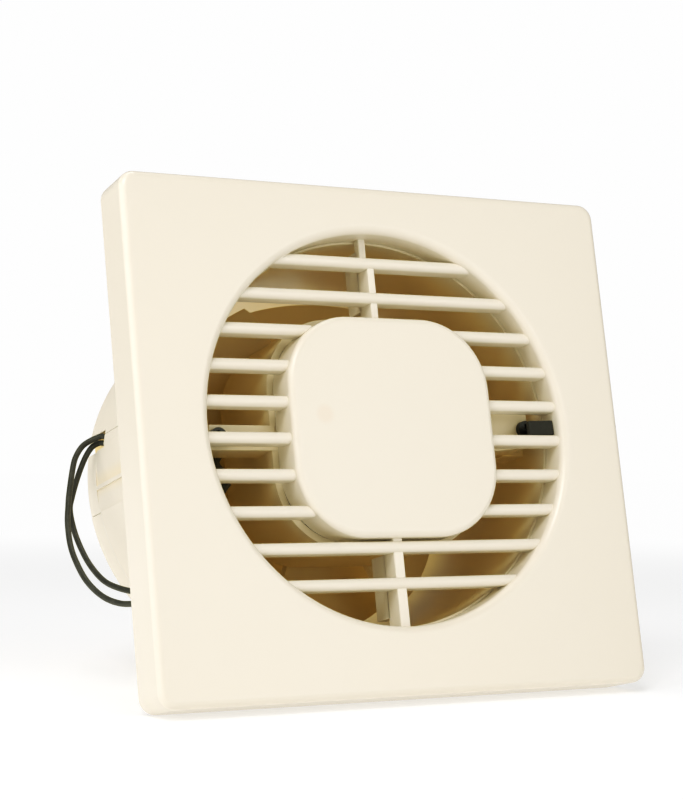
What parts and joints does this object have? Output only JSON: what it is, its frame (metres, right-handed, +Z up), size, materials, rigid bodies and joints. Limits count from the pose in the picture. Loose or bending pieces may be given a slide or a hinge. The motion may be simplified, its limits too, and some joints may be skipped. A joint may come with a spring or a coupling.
{
  "type": "bathroom extractor fan",
  "caption": "Square wall-mounted bathroom extractor fan with a slatted clip-on front, a round duct spigot, an axial impeller on a shaded-pole motor, and two outside leads.",
  "frame": {"origin": "on the duct's axis, in the plane of the wall that the fan is screwed to", "axes": "+Y along the duct, away from the room; +Z up; +X to the right as seen from the room"},
  "size_m": [0.15, 0.0905, 0.142],
  "materials": {
    "cream_gloss": "gloss",
    "cream_satin": "satin",
    "ivory_plastic": "satin",
    "blade_plastic": "satin",
    "rubber_black": "matte",
    "lead_black": "satin",
    "steel_zinc": "zinc plated",
    "steel_black": "black oxide",
    "core_steel": "laminated",
    "cage_alu": "die cast",
    "winding": "enamelled copper wire",
    "copper": "bare copper",
    "bronze": "sintered bronze",
    "brass": "turned",
    "felt": "felt"
  },
  "bodies": {
    "fixed": {"housing": "cream_satin", "lead_cover": "cream_satin", "motor_carrier": "cream_satin", "carrier_screws": "steel_black", "front_bracket": "steel_zinc", "rear_bracket": "steel_zinc", "stator_core": "core_steel", "pole_bobbins": "ivory_plastic", "pole_windings": "winding", "shading_rings": "copper", "thermal_fuse": "lead_black", "front_bush": "bronze", "rear_bush": "bronze", "oil_felts": "felt", "motor_bolts": "steel_zinc", "motor_nuts": "steel_zinc", "coil_leads": "lead_black", "lead_sleeve": "lead_black", "channel_leads": "lead_black", "lead_a": "lead_black", "lead_b": "lead_black", "lead_tails": "lead_black", "lead_tips": "steel_zinc", "terminal_block": "ivory_plastic", "terminal_tubes": "brass", "terminal_screws": "steel_zinc", "block_screw": "steel_zinc", "cord_clamp": "ivory_plastic", "clamp_screws": "steel_zinc"},
    "front_cover": {"front_grille": "cream_gloss", "grille_buffer": "rubber_black"},
    "fan_rotor": {"impeller": "blade_plastic", "impeller_nut": "steel_zinc", "shaft": "steel_zinc", "rotor_core": "core_steel", "rotor_cage": "cage_alu", "thrust_washers": "ivory_plastic"}
  },
  "joints": [
    {"name": "fan_spin", "type": "hinge", "parent": "fixed", "child": "fan_rotor", "pos_m": [0, 0.03, 0], "axis": [0, 1, 0], "continuous": true},
    {"name": "front_cover_pull", "type": "slide", "parent": "fixed", "child": "front_cover", "axis": [0, -1, 0], "range_m": [0, 0.02]}
  ]
}
